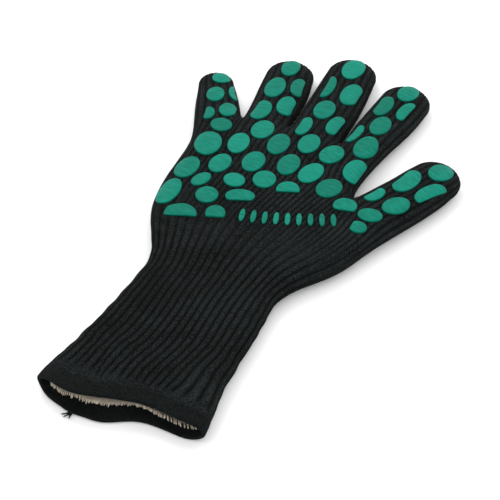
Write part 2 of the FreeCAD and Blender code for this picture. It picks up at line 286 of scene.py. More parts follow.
def build_plan():
    """The whole glove's plan mesh."""
    plan = Plan()
    fingers = [WALES[n] * PER_WALE for n in FINGERS]
    hand, thumb = sum(fingers), WALES["thumb"] * PER_WALE
    begin, starts = 0, {}
    for name, left, right, bottom, top, spans in [
            ("cuff", LEFT_PARTS[0], RIGHT_PARTS[0], MOUTH_ROW, WRIST_ROW, [hand + thumb]),
            ("heel", LEFT_PARTS[1], RIGHT_PARTS[1], WRIST_ROW, THUMB_ROW, [hand, thumb]),
            ("palm", LEFT_PARTS[2], INDEX_PARTS[0], THUMB_ROW[:2], FINGER_ROW, fingers)]:
        length, gather, thick = REGIONS[name]
        rows = round(length / ROW)
        shares = plain_shares(left, right, rows, sum(spans))
        if gather:
            mix = smooth_step(np.arange(rows + 1), rows - gather, rows)[:, None]
            shares = (1 - mix) * shares + mix * split_spacing(top, spans)
        course = begin + np.arange(rows + 1) * ROW
        plan.add(name, patch(left, right, bottom, top, shares), 0, course, thick)
        starts[name], begin = begin, course[-1]

    first = 0
    for n, name in enumerate(DIGITS):
        base = THUMB_ROW[1:] if name == "thumb" else FINGER_ROW[n:n + 2]
        start = starts["palm"] if name == "thumb" else begin
        left, right = SIDES[name]
        rows = round((lengths(left)[-1] + lengths(right)[-1]) / 2 / ROW)
        shares = plain_shares(left, right, rows, WALES[name] * PER_WALE)
        grid = patch(left, right, base, np.array([left[-1], right[-1]]), shares)
        course = start + np.arange(rows + 1) * ROW
        cap_thick = CAP_THICK[name] + CAP_FALL
        plan.add(name, grid, first, course, (DIGIT_THICK, cap_thick))
        # the tip's columns converge, so its courses are counted along the middle one
        course = course[-1] + TIPS[name][1] * np.sin(np.linspace(0, np.pi / 2, CAP_ROWS + 1))
        tip = cap(name, shares[-1])
        tip[0] = grid[-1]
        plan.add(name + "_cap", tip, first, course, (cap_thick, CAP_THICK[name]), closed_top=True)
        first += WALES[name]
    return plan


def relax(plan, rounds=40):
    """Smooth the columns lengthwise, so that no wale has a kink where patches meet."""
    xy = np.array(plan.xy)
    after, before = np.arange(len(xy)), np.arange(len(xy))
    for ids in plan.grids.values():
        after[ids[:-1].ravel()] = ids[1:].ravel()
        before[ids[1:].ravel()] = ids[:-1].ravel()
    free = (after != np.arange(len(xy))) & (before != np.arange(len(xy)))
    free[list(plan.rim)] = False
    for _ in range(rounds):
        xy[free] = 0.5 * xy[free] + 0.25 * (xy[after[free]] + xy[before[free]])
    return xy


def band_edge(wale, side):
    """How far up from the mouth the hem band's upper edge lies. It wanders."""
    around = np.column_stack([wale / 9, np.sign(side) * 3.0])
    return 12.6 + 2.4 * noise_at(around, (1, 1), 9.7) + 0.9 * noise_at(around, (0.3, 1), 2.9)


# how deep the band is turned inside: share of the mouth's width, depth on the lower side
TURN_DEPTH = [(0, 8.0), (0.08, 7.0), (0.17, 7.0), (0.25, 9.6), (0.31, 9.4), (0.41, 10.8), (0.5, 11.8),
              (0.6, 12.6), (0.66, 11.2), (0.74, 8.4), (0.83, 7.2), (0.92, 7.2), (1, 7.6)]


def turn_depth(wale, side):
    """How far in from the mouth the turned band ends and the liner begins."""
    depth = np.interp(np.asarray(wale) / ALL_WALES, *np.array(TURN_DEPTH).T)
    around = np.column_stack([np.asarray(wale) / 3, np.sign(side) * 5.0])
    return depth + 0.8 * noise_at(around, (1, 1), 1.3)


# --- tube ---
def outline_distance(xy):
    """Distance from each plan point to the glove's outline."""
    curves = [*LEFT_PARTS[:3], *RIGHT_PARTS[:2], INDEX_PARTS[0]]
    curves += [c for name in DIGITS for c in SIDES[name]]
    for name in DIGITS:
        tip = cap(name, np.linspace(0, 1, 9))
        curves += [tip[-1], tip[:, 0], tip[:, -1]]
    points = np.concatenate([along(c, np.linspace(0, 1, int(lengths(c)[-1] / 0.1) + 2)) for c in curves])
    tree = kdtree.KDTree(len(points))
    for i, p in enumerate(points):
        tree.insert((p[0], p[1], 0), i)
    tree.balance()
    return np.array([tree.find((x, y, 0))[2] for x, y in xy])


def noise_at(points, scale, seed):
    """Smooth noise, about -1 to 1, at plan or space points."""
    spread = np.array(points, float) / np.array(scale, float)
    return np.array([noise.noise(Vector((*p, seed) if len(p) == 2 else (p[0], p[1], p[2] + seed)))
                     for p in spread])


def normals_of(points, quads):
    """Area-weighted vertex normals."""
    a, b, c, d = (points[quads[:, k]] for k in range(4))
    face = np.cross(c - a, d - b)
    total = np.zeros_like(points)
    for k in range(4):
        np.add.at(total, quads[:, k], face)
    return total / np.maximum(np.linalg.norm(total, axis=1, keepdims=True), 1e-12)


def spot(x, y, centre, size):
    """1 at a place in plan, fading to 0 around it."""
    return np.exp(-((x - centre[0]) / size[0]) ** 2 - ((y - centre[1]) / size[1]) ** 2)


ABOVE = 60.0              # a height over everything
CRUMPLE = (-20, 20)       # plan place of the crumpled spot near the hem
PUCKER = (-52, 136)       # and of the fine wrinkles at the heel


def ripple(xy):
    """Sideways wander of the ribs. Near the hem they swing towards the little finger's side."""
    x, y = xy.T
    near_hem = 1 - smooth_step(y, 5, 70)
    fade = 1 - smooth_step(y, 110, 170)
    wander = noise_at(xy, (34, 26), 3.1) * (1.0 + 2.6 * near_hem) * fade
    wander += noise_at(xy, (60, 30), 8.2) * 1.2
    wander += spot(x, y, CRUMPLE, (15, 15)) * noise_at(xy, (9, 11), 6.4) * 3.4
    swing = -9.0 * (1 - smooth_step(y, 0, 62)) * smooth_step(x, -34, 12)
    return np.column_stack([wander + swing, 0 * wander])


def edge_bumps(xy):
    """Small bumps along the cuff's two sides."""
    x, y = xy.T
    sideways = np.sign(x) * smooth_step(np.abs(x), 22, 46)
    bumps = noise_at(np.column_stack([np.sign(x) * 5, y / 9]), (1, 1), 3.3)
    fade = smooth_step(y, 4, 20) * (1 - smooth_step(y, 128, 150))
    return np.column_stack([0.8 * sideways * bumps * fade, 0 * y])


def swell(xy):
    """Soft dents and swellings of the palm side."""
    x, y = xy.T
    soft = 0.9 * noise_at(xy, (46, 60), 1.7) + 0.45 * noise_at(xy, (17, 24), 5.3)
    pucker = 0.75 * spot(x, y, PUCKER, (17, 22)) * np.sin(y / 1.55 + 0.05 * x)
    pucker += spot(x, y, CRUMPLE, (16, 13)) * noise_at(xy, (5.5, 4.5), 2.2) * 1.5
    fingers = smooth_step(y, 225, 262)
    return soft * (1 - 0.45 * fingers) + pucker - 0.7


class Tube:
    """The plan raised into a flat closed tube: smooth base, knitted outside, normals and fabric axes."""

    def __init__(self, plan):
        self.grids = plan.grids
        count = len(plan.xy)
        rim = np.zeros(count, bool)
        rim[list(plan.rim)] = True
        drawn = np.array(plan.xy)
        reach = outline_distance(drawn)
        reach[rim] = 0
        # the columns crowd at the rim, so nothing moves sideways there
        xy = drawn + (relax(plan) - drawn) * smooth_step(reach, 2, 12)[:, None]
        xy = xy + ripple(xy) * smooth_step(reach, 0, 18)[:, None]
        reach = outline_distance(xy)
        reach[rim] = 0
        inside = rim_profile(reach)
        xy = xy + edge_bumps(xy)
        half = np.array(plan.thick) / 2
        raised = swell(xy) * inside
        self.under = np.arange(count)
        self.under[~rim] = count + np.arange((~rim).sum())
        top = np.column_stack([xy, half * (1 + inside) + raised + FLOOR_GAP])
        bottom = np.column_stack([xy, half * (1 - inside) + FLOOR_GAP])[~rim]
        self.base = np.concatenate([top, bottom])
        self.wale, self.course = (np.concatenate([v, np.array(v)[~rim]]) for v in (plan.wale, plan.course))
        self.side = np.concatenate([inside, -inside[~rim]])
        self.shape_mouth()
        upper = np.concatenate(plan.quads)
        self.quads = np.concatenate([upper, self.under[upper[:, ::-1]]])
        self.smooth_normal = normals_of(self.base, self.quads)
        self.out = self.base + self.smooth_normal * self.relief()[:, None]
        self.normal = normals_of(self.out, self.quads)
        self.tree = BVHTree.FromPolygons(self.base.tolist(), self.quads.tolist())

    def below(self, x, y):
        """Place on the smooth base under a plan point, its normal, and its wale and course."""
        hit, _, face, _ = self.tree.ray_cast(Vector((x, y, ABOVE)), Vector((0, 0, -1)))
        if hit is None:
            hit, _, face, _ = self.tree.find_nearest(Vector((x, y, 12)))
        quad = self.quads[face]
        gap = np.linalg.norm(self.base[quad] - np.array(hit), axis=1) + 1e-3
        share = (1 / gap**2) / (1 / gap**2).sum()
        normal = (self.smooth_normal[quad] * share[:, None]).sum(axis=0)
        fabric = share @ self.wale[quad], share @ self.course[quad]
        return np.array(hit), normal / np.linalg.norm(normal), fabric

    def shape_mouth(self):
        """The lower lip reaches out in a slow wave, the upper one less, and the mouth gapes a little."""
        x, y, _ = self.base.T     # views, so y goes with the lips
        near = 1 - smooth_step(y, MOUTH, 30)
        upper = (self.side + 1) / 2
        lips = [np.interp(x, *spline(lip)[0].T) for lip in (LOWER_LIP, UPPER_LIP)]
        self.base[:, 1] += ((1 - upper) * lips[0] + upper * lips[1] - MOUTH) * near
        share = np.clip((x + HALF_MOUTH) / (2 * HALF_MOUTH), 0, 1)
        gape = np.sin(np.pi * share) * (0.5 + 1.3 * np.cos(2 * np.pi * (share - 0.22)))
        self.base[:, 2] += near * (np.clip(self.side, 0, 1) * gape + np.clip(-self.side, 0, 1) * 0.55)
        flare = 1.6 * near * np.clip(-x - 30, 0, 24) / 24
        self.base[:, 0] -= flare * smooth_step(y, -16, 6)

    def relief(self):
        """Height of the knit over the smooth base: deep ribs on the cuff, fine wales on the hand."""
        y = self.base[:, 1]
        slant = 10 * np.sin(self.wale / ALL_WALES * np.pi)
        ribbed = 1 - smooth_step(y + slant, *RIBS_FADE)
        phase = (self.wale + 0.5) % RIB_WALES
        gap = np.minimum(phase, RIB_WALES - phase)
        rib = -RIB_DEPTH * np.exp(-(gap / RIB_GAP) ** 2)
        wale = -WALE_DEPTH * np.cos(2 * np.pi * self.wale)
        wale -= (1 - ribbed) * HAND_RIB_DEPTH * np.abs(np.cos(np.pi * self.wale / HAND_RIB_WALES)) ** 3
        fuzz = 0.07 * noise_at(self.base, (1.7, 1.7, 1.7), 0.3)
        start = smooth_step(self.course - band_edge(self.wale, self.side), -2, 7)
        rib *= 0.85 + 0.15 * np.sin(self.course / 9)
        return start * ribbed * rib + wale * (1 - 0.4 * ribbed) + fuzz


# --- meshes ---
def add_uv(mesh, name, uv):
    """UV map from one pair of numbers for each vertex."""
    layer = mesh.uv_layers.new(name=name)
    loops = np.zeros(len(mesh.loops), int)
    mesh.loops.foreach_get("vertex_index", loops)
    layer.data.foreach_set("uv", np.array(uv, float)[loops].ravel())


def placed(name, data):
    """A new object in the scene."""
    obj = bpy.data.objects.new(name, data)
    bpy.context.scene.collection.objects.link(obj)
    return obj


def new_object(name, points, faces, material, uv=None, normals=None):
    """A mesh object from plan millimetres, placed in the row frame."""
    mesh = bpy.data.meshes.new(name)
    place = (np.array(points, float) + [*SHIFT, 0]) * MM
    mesh.from_pydata(place.tolist(), [], faces.tolist() if isinstance(faces, np.ndarray) else faces)
    mesh.update()
    if uv is not None:
        add_uv(mesh, "fabric", uv)
    mesh.polygons.foreach_set("use_smooth", np.ones(len(mesh.polygons), bool))
    if normals is not None:
        mesh.normals_split_custom_set_from_vertices(np.array(normals, float).tolist())
    mesh.materials.append(material)
    return placed(name, mesh)


def open_edges(quads):
    """Edges that belong to one face only, in that face's direction."""
    edges = np.concatenate([quads[:, [k, (k + 1) % 4]] for k in range(4)])
    key = np.sort(edges, axis=1)
    _, first, count = np.unique(key, axis=0, return_index=True, return_counts=True)
    return edges[first[count == 1]]


def wall_piece(name, tube, quads, outer, wall, material, shade=None):
    """Closed fabric wall: the outer surface, an inner one under it, and the edges between."""
    used, local = np.unique(quads, return_inverse=True)
    local = local.reshape(quads.shape)
    n = len(used)
    inner = tube.base[used] - tube.smooth_normal[used] * wall
    edge = open_edges(local)
    strip = np.column_stack([edge[:, 1], edge[:, 0], edge[:, 0] + n, edge[:, 1] + n])
    faces = np.concatenate([local, local[:, ::-1] + n, strip])
    points = np.concatenate([outer[used], inner])
    uv = np.column_stack([tube.wale[used], tube.course[used]])
    out = (shade if shade is not None else tube.normal)[used]
    normals = np.concatenate([out, -tube.smooth_normal[used]])
    return new_object(name, points, faces, material, np.concatenate([uv, uv]), normals)


def coarse(ids, step):
    """Every so many rows of a grid, with its ends kept."""
    rows = np.unique(np.round(np.linspace(0, len(ids) - 1, max(2, len(ids) // step + 1))).astype(int))
    return ids[rows]


def grid_quads(ids):
    """Quads of a grid of vertex numbers."""
    return np.stack([ids[:-1, :-1], ids[:-1, 1:], ids[1:, 1:], ids[1:, :-1]], axis=-1).reshape(-1, 4)


def closed_grid(rows, columns, closed_rows=0):
    """Vertex numbers of a grid whose last column (and row) is followed by its first."""
    ids = np.arange(rows * columns).reshape(rows, columns)
    return np.pad(ids, ((0, closed_rows), (0, 1)), mode="wrap")


def merged(parts):
    """Points and faces of many small meshes as one."""
    points, faces, start = [], [], 0
    for verts, polygons in parts:
        points.append(verts)
        faces += [[int(i) + start for i in p] for p in polygons]
        start += len(verts)
    return np.concatenate(points), faces


def both_sides(tube, *grids):
    """Quads of some grids, on the tube's upper and lower side."""
    quads = []
    for ids in grids:
        upper = grid_quads(ids)
        quads += [upper, tube.under[upper[:, ::-1]]]
    return np.concatenate(quads)


def finish(obj, node):
    """Hide the CAD node that a piece stands for."""
    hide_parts(node)
    return obj


# --- joints ---
JOINTS = {j["name"]: j for j in frame["joints"]}
# reach before and after each crease, which places where a digit's pieces part and which dots go with it
ROOT_REACH = {"little": (4.2, 4.8), "ring": (8, 8), "middle": (8, 8), "index": (8, 8), "thumb": (9, 7)}
END_REACH = {"little": (7, 7), "ring": (8, 8), "middle": (8, 8), "index": (8, 8), "thumb": (7, 8)}


def crease(joint):
    """A joint's place in plan millimetres, and the fabric's direction across it."""
    place = np.array(joint["pos_m"][:2]) / MM - SHIFT
    axis = joint["axis"]
    return place, np.array([-axis[1], axis[0]])


def bend(obj, name):
    """Look up the named joint's crease and bake the piece's transform."""
    joint = JOINTS[name]
    place, way = crease(joint)
    if name == "wrist_fold":
        way = -way
    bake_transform(obj)


def bend_wrist(obj):
    """Bake a cuff piece's transform, by way of the wrist fold."""
    bend(obj, "wrist_fold")


def bend_root(obj, digit):
    bend(obj, f"{digit}_knuckle_bend")


def bend_end(obj, digit):
    bend(obj, f"{digit}_middle_bend")


# a digit's two pieces: name, CAD body, and the function that bakes its transform
DIGIT_PARTS = (("root", "base", bend_root), ("end", "tip", bend_end))


def dividing_place(digit):
    """Plan place halfway between the reaches of a digit's two creases, and the way across it."""
    first, way = crease(JOINTS[f"{digit}_knuckle_bend"])
    second, _ = crease(JOINTS[f"{digit}_middle_bend"])
    return ((first + way * ROOT_REACH[digit][1]) + (second - way * END_REACH[digit][0])) / 2, way


def dividing_row(tube, digit):
    """Row of a digit's grid that is nearest to its dividing place."""
    middle, way = dividing_place(digit)
    ids = tube.grids[digit]
    line = tube.base[ids[:, ids.shape[1] // 2], :2]
    return int(np.argmin(np.abs((line - middle) @ way)))


# --- fabric pieces ---
HEM_ROW = 6           # first row of the cuff's own fabric, which starts under the hem band
HAND_ROW = 10         # row of the heel grid where the cuff's piece ends
LINER_ROW = 8         # first row of the liner
RAGGED_ROWS = 6       # rows over which the liner's ragged edge evens out
LINER_START = 0.6     # the liner begins this far past the band's turned edge
LINER_INSET = 2.5
LINER_WALL = 1.2


def shell_piece(name, tube, quads, material, node):
    """Piece of the knit shell."""
    return finish(wall_piece(name, tube, quads, tube.out, KNIT_WALL, material), node)


def liner_piece(name, tube, quads, surface, material, node):
    """Piece of the cotton liner."""
    obj = wall_piece(name, tube, quads, surface, LINER_INSET + LINER_WALL, material, tube.smooth_normal)
    return finish(obj, node)


def fabric_pieces(tube, material):
    """Knit shell: cuff, palm, and two pieces for each digit."""
    g = tube.grids
    cuff = both_sides(tube, g["cuff"][HEM_ROW:], g["heel"][:HAND_ROW + 1])
    bend_wrist(shell_piece("cuff_knit", tube, cuff, material, "cuff_shell"))
    palm = both_sides(tube, g["heel"][HAND_ROW:], g["palm"])
    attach(shell_piece("palm_knit", tube, palm, material, "palm_shell"), "palm")
    for digit in DIGITS:
        row = dividing_row(tube, digit)
        root = both_sides(tube, g[digit][:row + 1])
        end = both_sides(tube, g[digit][row:], g[digit + "_cap"])
        for (part, body, bend_part), quads in zip(DIGIT_PARTS, (root, end)):
            obj = shell_piece(f"{digit}_{part}_knit", tube, quads, material, f"{digit}_{body}_shell")
            bend_part(obj, digit)


def liner_pieces(tube, material):
    """Cotton glove inside the shell, cut at the same creases. Its mouth is ragged."""
    g = tube.grids
    surface = tube.base - tube.smooth_normal * LINER_INSET
    fine = g["cuff"][LINER_ROW:LINER_ROW + RAGGED_ROWS]
    ragged = surface.copy()
    for k, row in enumerate(fine):
        edge = np.unique(np.concatenate([row, tube.under[row]]))
        move = turn_depth(tube.wale[edge], tube.side[edge]) + LINER_START - LINER_ROW * ROW
        if k == 0:
            move -= np.abs(noise_at(surface[edge], (1.3, 9, 9), 4.4)) * 2.6 + np.where(edge % 2, 0.9, 0)
        ragged[edge, 1] += move * (1 - k / RAGGED_ROWS)
    cuff_ids = np.concatenate([fine, coarse(g["cuff"][LINER_ROW + RAGGED_ROWS:], 3)])
    cuff = both_sides(tube, cuff_ids, coarse(g["heel"][:HAND_ROW + 1], 3))
    bend_wrist(liner_piece("cuff_liner_knit", tube, cuff, ragged, material, "cuff_liner"))
    palm = both_sides(tube, coarse(g["heel"][HAND_ROW:], 3), coarse(g["palm"], 3))
    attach(liner_piece("palm_liner_knit", tube, palm, surface, material, "palm_liner"), "palm")
    for digit in DIGITS:
        row = dividing_row(tube, digit)
        root = both_sides(tube, coarse(g[digit][:row + 1], 3))
        end = both_sides(tube, coarse(g[digit][row:], 3), coarse(g[digit + "_cap"], 2))
        for (part, body, bend_part), quads in zip(DIGIT_PARTS, (root, end)):
            node = f"{digit}_{body}_liner"
            bend_part(liner_piece(f"{digit}_{part}_liner", tube, quads, surface, material, node), digit)


# --- hem ---
HEM_FOLD = 1.35       # radius of the rounded mouth edge
# closed section of the hem band: share of its outer or inner depth, height over the knit's base
HEM_OUTSIDE = [(1.04, -1.3), (1.0, -0.5), (0.9, -0.05), (0.78, 0.2), (0.62, 0.36), (0.45, 0.42),
               (0.3, 0.45)]
HEM_INSIDE = [(0.25, -2.28), (0.45, -2.35), (0.68, -2.4), (0.87, -2.45), (0.97, -2.3), (1.0, -1.8),
              (0.95, -1.3)]
HEM_START = 0.9       # depth at which the fold begins
HEM_LOWEST = 0.05     # the band stays this far over the floor


class CuffLoop:
    """The cuff's smooth surface as closed loops around the mouth, to place things by depth and height."""

    def __init__(self, tube):
        ids = tube.grids["cuff"]
        back = tube.under[ids[:, -2:0:-1]]
        self.ids = np.concatenate([ids, back], axis=1)
        self.points = tube.base[self.ids]
        self.normals = tube.smooth_normal[self.ids]
        self.count = self.ids.shape[1]
        self.width = ids.shape[1] - 1

    def at(self, depth, height, column):
        """Points at depths from the mouth, heights over the surface and (fractional) columns."""
        row = np.asarray(depth, float) / ROW
        j = np.clip(np.floor(row).astype(int), 0, len(self.ids) - 2)
        f = (row - j)[..., None]
        i = np.floor(column).astype(int) % self.count
        k = (i + 1) % self.count
        g = (np.asarray(column, float) - np.floor(column))[..., None]

        def mix(table):
            low = table[j, i] * (1 - g) + table[j, k] * g
            high = table[j + 1, i] * (1 - g) + table[j + 1, k] * g
            return low * (1 - f) + high * f
        return mix(self.points) + mix(self.normals) * np.asarray(height, float)[..., None]


def hem_depths(loop, column):
    """Outer and inner depth of the hem band at a column of the loop."""
    column = np.asarray(column, float) % loop.count
    front = column < loop.width
    wale = np.where(front, column, 2 * loop.width - column) / PER_WALE
    side = np.where(front, 1.0, -1.0)
    return band_edge(wale, side), turn_depth(wale, side)


def hem_band(loop, material):
    """Flat-knit band, doubled and turned inside."""
    column = np.arange(loop.count)
    outer, inner = hem_depths(loop, column)
    section = [(share * outer, height) for share, height in HEM_OUTSIDE]
    for turn in np.linspace(0.15, math.pi - 0.15, 9):
        height = HEM_FOLD * (math.cos(turn) - 1) + HEM_OUTSIDE[-1][1]
        section.append((HEM_START - HEM_FOLD * math.sin(turn) + 0 * outer, height))
    section += [(share * inner, height) for share, height in HEM_INSIDE]
    rows = []
    for depth, height in section:
        ripple = 0.2 * noise_at(np.column_stack([column / 9, depth / 4]), (1, 1), 7.1)
        rows.append(loop.at(depth, height + ripple, column))
    points = np.array(rows)
    points[..., 2] = np.maximum(points[..., 2], HEM_LOWEST)
    travel = np.cumsum(np.linalg.norm(np.diff(points, axis=0, prepend=points[:1]), axis=2).mean(axis=1))
    uv = np.stack(np.broadcast_arrays(column[None, :] / PER_WALE, travel[:, None]), axis=-1)
    faces = grid_quads(closed_grid(len(points), loop.count, closed_rows=1))
    obj = new_object("hem_band_knit", points.reshape(-1, 3), faces, material, uv.reshape(-1, 2))
    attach(finish(obj, "hem_band"), "cuff")


YARN_SIDES = 6
OVERLOCK_YARN, SEAM_YARN, COIL_YARN, END_YARN = 0.36, 0.26, 0.5, 0.42     # radii


def yarn(points, radius):
    """Vertices and faces of a closed round tube along a line of points."""
    points = np.array(points, float)
    way = np.gradient(points, axis=0)
    way /= np.linalg.norm(way, axis=1, keepdims=True)
    across = np.cross(way, [0.31, 0.2, 0.93])
    across /= np.linalg.norm(across, axis=1, keepdims=True)
    up = np.cross(across, way)
    turn = np.linspace(0, 2 * np.pi, YARN_SIDES, endpoint=False)
    taper = np.ones(len(points))
    taper[[0, -1]] = 0.45
    ring = np.cos(turn)[None, :, None] * across[:, None] + np.sin(turn)[None, :, None] * up[:, None]
    verts = points[:, None] + ring * (radius * taper)[:, None, None]
    ids = closed_grid(len(points), YARN_SIDES)
    faces = grid_quads(ids)[:, ::-1].tolist() + [ids[0, :-1].tolist(), ids[-1, -2::-1].tolist()]
    return verts.reshape(-1, 3), faces


def yarn_piece(name, parts, material, node):
    """One piece of the cuff from many bits of yarn."""
    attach(finish(new_object(name, *merged(parts), material), node), "cuff")


def overlock(loop, material):
    """Cotton overlock stitches over the hem's turned edge: slanted loops and a line of ties."""
    parts = []
    wobble = lambda i, seed: noise.noise(Vector((i * 0.7, seed, 0.5)))
    for i in np.arange(0, loop.count, 1.5):
        reach = 1.2 * wobble(i, 1.0)
        _, turned = hem_depths(loop, [i])
        depth = turned + np.array([-1.9 + reach, -1.3 + reach, 0.0, 1.4, 2.2])
        height = np.array([-2.7, -3.2, -3.4, -3.2, -2.9]) - 0.35 * abs(wobble(i, 2.0))
        column = i + np.array([0, 0.2, 0.7, 1.3, 1.7]) + wobble(i, 3.0)
        parts.append(yarn(loop.at(depth, height, column), OVERLOCK_YARN))
    yarn_piece("liner_edge_overlock", parts, material, "liner_edge_stitches")


def hem_seam(loop, material):
    """Row of small black stitches that closes the hem band over the ribs, sunk in the knit."""
    parts = []
    for i in np.arange(0, loop.count, 3.0):
        outer, _ = hem_depths(loop, [i])
        depth = outer + np.array([-1.2, -0.6, 0.0, 0.5])
        height = np.array([-0.35, 0.02, 0.02, -0.45])
        parts.append(yarn(loop.at(depth, height, i + np.array([0, 0.5, 1.1, 1.5])), SEAM_YARN))
    yarn_piece("hem_seam_stitches", parts, material, "hem_seam_thread")


def yarn_tail(loop, material):
    """Small knot and loose ends where the hem's yarn was tied off, at the lower lip."""
    low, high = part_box("yarn_tail")
    want = (low.x + high.x) / 2 / MM - SHIFT[0]
    lower = loop.points[0, loop.count // 2 + 1:]
    column = loop.count // 2 + 1 + int(np.argmin(np.abs(lower[:, 0] - want)))
    root = loop.at(np.array([-0.3]), np.array([-0.6]), np.array([column]))[0]
    parts = []
    for k in range(4):
        turn = np.linspace(0, 2.2 * np.pi, 12) + k * 1.7
        coil = [1.15 * np.cos(turn), 0.9 * np.sin(turn) * math.cos(k), np.sin(turn + k) * 0.9]
        parts.append(yarn(root + [0, -0.9, 0.5] + np.column_stack(coil), COIL_YARN))
    for k, (dx, dy) in enumerate([(-2.6, -3.6), (1.4, -3.0), (-4.2, -1.8)]):
        t = np.linspace(0, 1, 7)[:, None]
        line = root + [0, -1.0, 0.5] + t * [dx, dy, -0.9] + np.sin(t * 3 + k) * [0.5, 0.3, 0.1]
        line[:, 2] = np.maximum(line[:, 2], 0.6)
        parts.append(yarn(line, END_YARN))
    yarn_piece("yarn_tail_knot", parts, material, "yarn_tail")


# --- silicone ---
DOT_HEIGHT = 1.1
BAR_HEIGHT = 0.75
DOT_POINTS = 56
# section of a dot's edge: distance in from its outline, height over the knit as a share
DOT_EDGE = [(0.06, -0.9), (0.12, 0.1), (0.18, 0.45), (0.32, 0.72), (0.55, 0.9), (1.0, 0.99), (1.8, 1.03)]
DOT_CROWN = 1.13                      # the same share at the middle of its top
DOT_RINGS = (0.2, 0.4, 0.6, 0.8)      # rings of its underside and top, as shares of their outlines
HALVES_APART = 0.6                    # two halves of one dot are nearer than this


def islands(node):
    """Plan points of each loose part of a CAD node."""
    mesh = bmesh.new()
    mesh.from_mesh(frame["nodes"][node].data)
    bmesh.ops.remove_doubles(mesh, verts=mesh.verts, dist=1e-5)
    left, found = set(mesh.verts), []
    while left:
        stack, group = [left.pop()], []
        while stack:
            v = stack.pop()
            group.append(v)
            near = [e.other_vert(v) for e in v.link_edges]
            stack += [w for w in near if w in left]
            left.difference_update(near)
        found.append(np.array([[v.co.x, v.co.y] for v in group]) / MM - SHIFT)
    mesh.free()
    return sorted(found, key=lambda p: (round(p[:, 1].min(), 2), round(p[:, 0].min(), 2)))


def hull(points):
    """Convex outline of plan points, anticlockwise."""
    order = points[np.lexsort((points[:, 1], points[:, 0]))]

    def half(run):
        chain = []
        for p in run:
            while len(chain) > 1 and np.cross(chain[-1] - chain[-2], p - chain[-1]) <= 1e-9:
                chain.pop()
            chain.append(p)
        return chain[:-1]
    return np.array(half(order) + half(order[::-1]))


def even_outline(points):
    """Outline of a dot, evenly spaced, with its corners slightly rounded."""
    ring = hull(points)
    closed = np.concatenate([ring, ring[:1]])
    even = along(closed, np.arange(DOT_POINTS) / DOT_POINTS)
    for _ in range(2):
        even = 0.5 * even + 0.25 * (np.roll(even, 1, axis=0) + np.roll(even, -1, axis=0))
    return even


def whole_dots():
    """Outlines of all dots. Halves that face each other over a crease are one dot again."""
    pieces = []
    for node in sorted(n for n in frame["nodes"] if n.endswith("_grip_dots")):
        pieces += [(node, p) for p in islands(node)]
    merged = []
    while pieces:
        node, points = pieces.pop(0)
        for other in list(pieces):
            apart = np.linalg.norm(points[:, None] - other[1][None], axis=2).min()
            if other[0] != node and apart < HALVES_APART:
                points = np.concatenate([points, other[1]])
                pieces = [p for p in pieces if p is not other]
        merged.append(even_outline(points))
    return merged


def dot_mesh(outline, tube, height):
    """Silicone pad on the knit: rounded edge and nearly flat top."""
    centre = outline.mean(axis=0)
    spread = np.linalg.norm(outline - centre, axis=1, keepdims=True)
    rings = [(centre + (outline - centre) * (1 - inset / spread), share) for inset, share in DOT_EDGE]
    (foot, sunk), (inner, top) = rings[0], rings[-1]
    underside = [(centre + (foot - centre) * f, sunk) for f in DOT_RINGS]
    upper = [(centre + (inner - centre) * f, top + 0.1 * (1 - f)) for f in DOT_RINGS[::-1]]
    rings = underside + rings + upper
    verts, fabric, shade = [], [], []
    tone = noise.noise(Vector((*centre / 13, 2.6))) + 0.5
    for ring, share in rings + [(centre[None], DOT_CROWN), (centre[None], sunk)]:
        for x, y in ring:
            hit, normal, place = tube.below(x, y)
            verts.append(hit + normal * height * share)
            fabric.append(place)
            # height up the edge, for the painted shade of the dot's side, and the dot's own tone
            shade.append((min(max(share, 0), 1), tone))
    ids = closed_grid(len(rings), DOT_POINTS)
    faces = grid_quads(ids).tolist()
    crown, base = len(verts) - 2, len(verts) - 1
    faces += [[a, b, crown] for a, b in zip(ids[-1], ids[-1, 1:])]
    faces += [[b, a, base] for a, b in zip(ids[0], ids[0, 1:])]
    return np.array(verts), faces, fabric, shade


def silicone_piece(name, dots, tube, material, node, height=DOT_HEIGHT):
    """Dots of one piece. The second UV map holds height up the edge, which sets the painted shade of the
    dots' sides, and each dot's own tone.
    """
    meshes = [dot_mesh(outline, tube, height) for outline in dots]
    points, faces = merged([mesh[:2] for mesh in meshes])
    obj = new_object(name, points, faces, material, [place for mesh in meshes for place in mesh[2]])
    add_uv(obj.data, "print", [pair for mesh in meshes for pair in mesh[3]])
    return finish(obj, node)


def silicone(tube, material):
    """All printed dots, parted like the fabric they are on, and the grip bars."""
    groups = {"palm": []}
    for outline in whole_dots():
        groups.setdefault(region_of(outline), []).append(outline)
    obj = silicone_piece("palm_grip_pads", groups.pop("palm"), tube, material, "palm_grip_dots")
    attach(obj, "palm")
    for digit, dots in sorted(groups.items()):
        middle, way = dividing_place(digit)
        for (part, body, bend_part), outward in zip(DIGIT_PARTS, (way, -way)):
            name, node = f"{digit}_{part}_grip_pads", f"{digit}_{body}_grip_dots"
            obj = silicone_piece(name, dots, tube, material, node)
            keep_before(obj, middle, outward)
            bend_part(obj, digit)
    bars = [even_outline(p) for p in islands("palm_grip_bars")]
    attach(silicone_piece("palm_grip_ribs", bars, tube, material, "palm_grip_bars", BAR_HEIGHT), "palm")


def keep_before(obj, place, way):
    """Cut a piece along an upright plane, keep what lies before it, and close the cut."""
    mesh = bmesh.new()
    mesh.from_mesh(obj.data)
    everything = list(mesh.verts) + list(mesh.edges) + list(mesh.faces)
    place = (*((place + SHIFT) * MM), 0)
    made = bmesh.ops.bisect_plane(mesh, geom=everything, plane_co=place, plane_no=(*way, 0),
                                  clear_outer=True)
    edges = [e for e in made["geom_cut"] if isinstance(e, bmesh.types.BMEdge)]
    bmesh.ops.holes_fill(mesh, edges=edges)
    mesh.to_mesh(obj.data)
    mesh.free()


